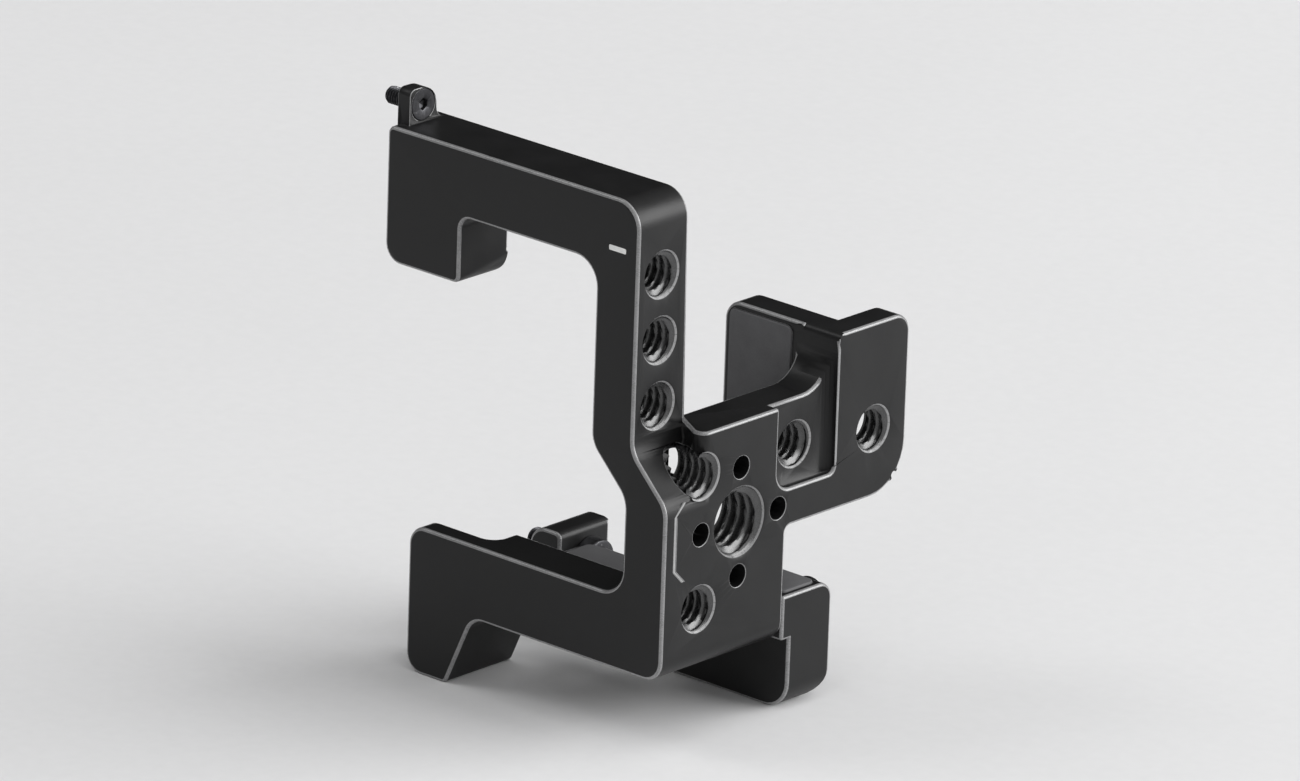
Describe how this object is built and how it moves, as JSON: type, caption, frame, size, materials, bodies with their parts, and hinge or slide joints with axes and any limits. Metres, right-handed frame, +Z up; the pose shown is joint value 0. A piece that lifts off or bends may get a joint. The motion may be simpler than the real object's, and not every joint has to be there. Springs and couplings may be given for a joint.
{
  "type": "electronic viewfinder cage",
  "caption": "Small machined cage that stands round a plug-on display unit beside a camera cage and carries accessory threads and a cable flange on its outer side.",
  "frame": {"origin": "where the axis of the large accessory thread meets the outer face of the side panel", "axes": "+X outward, away from the camera cage and along all threads; +Y rearward, from the front plate to the rear post; +Z up"},
  "size_m": [0.0555, 0.0477, 0.0803],
  "materials": {
    "anodised": "bead-blasted and anodised black, with brighter machined edges",
    "silicone": "matt",
    "black_steel": "blackened",
    "steel": "ground"
  },
  "bodies": {
    "frame": {"cage_frame": "anodised", "rear_foot": "anodised", "foot_screws": "black_steel", "locating_pins": "steel", "block_pad": "silicone", "strip_pad": "silicone", "panel_pad": "silicone", "post_pad": "silicone", "floor_pad": "silicone", "foot_pad": "silicone"},
    "upper_screw": {"upper_mount_screw": "black_steel", "upper_screw_ring": "steel"},
    "lower_ring": {"lower_screw_ring": "steel"},
    "lower_screw": {"lower_mount_screw": "black_steel"}
  },
  "joints": [
    {"name": "upper_screw_turn", "type": "hinge", "parent": "frame", "child": "upper_screw", "pos_m": [-0.0515, -0.0103, 0.04815], "axis": [1, 0, 0], "continuous": true},
    {"name": "lower_screw_travel", "type": "slide", "parent": "frame", "child": "lower_ring", "axis": [1, 0, 0], "range_m": [0, 0.0016]},
    {"name": "lower_screw_turn", "type": "hinge", "parent": "lower_ring", "child": "lower_screw", "pos_m": [-0.0457, 0.015, -0.0193], "axis": [1, 0, 0], "range_deg": [0, 1152]}
  ],
  "couplings": [
    {"joint": "lower_screw_turn", "follows": "lower_screw_travel", "rad_per_m": 12566}
  ]
}
